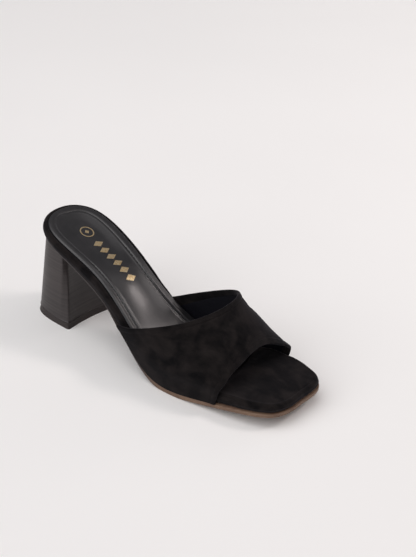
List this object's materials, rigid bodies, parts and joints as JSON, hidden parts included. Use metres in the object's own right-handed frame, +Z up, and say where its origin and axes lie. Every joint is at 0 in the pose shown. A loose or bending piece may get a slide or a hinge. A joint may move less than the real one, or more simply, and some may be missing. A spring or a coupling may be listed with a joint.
{
  "type": "mule shoe",
  "caption": "Right-foot open-toe mule with a wide suede-look band, a covered insole board, a padded sock, a thin outsole and a flared block heel.",
  "frame": {"origin": "middle of the bounding box seen from above, on the floor that the shoe stands on", "axes": "+X from heel to toe, +Y to the wearer's left, which is the inner side of this right shoe, +Z up"},
  "size_m": [0.236, 0.082, 0.0828],
  "materials": {
    "suede": "black microfibre suede, napped and matte",
    "sock": "smooth black coated leather, satin",
    "outsole": "moulded brown rubber, satin",
    "heel_cover": "dark brown stacked-leather look with fine level lines, satin",
    "top_lift": "hard black-brown rubber, satin"
  },
  "bodies": {
    "root": {"outsole": "outsole", "insole": "suede", "sock": "sock", "upper": "suede", "heel": "heel_cover", "top_lift": "top_lift"}
  },
  "joints": []
}
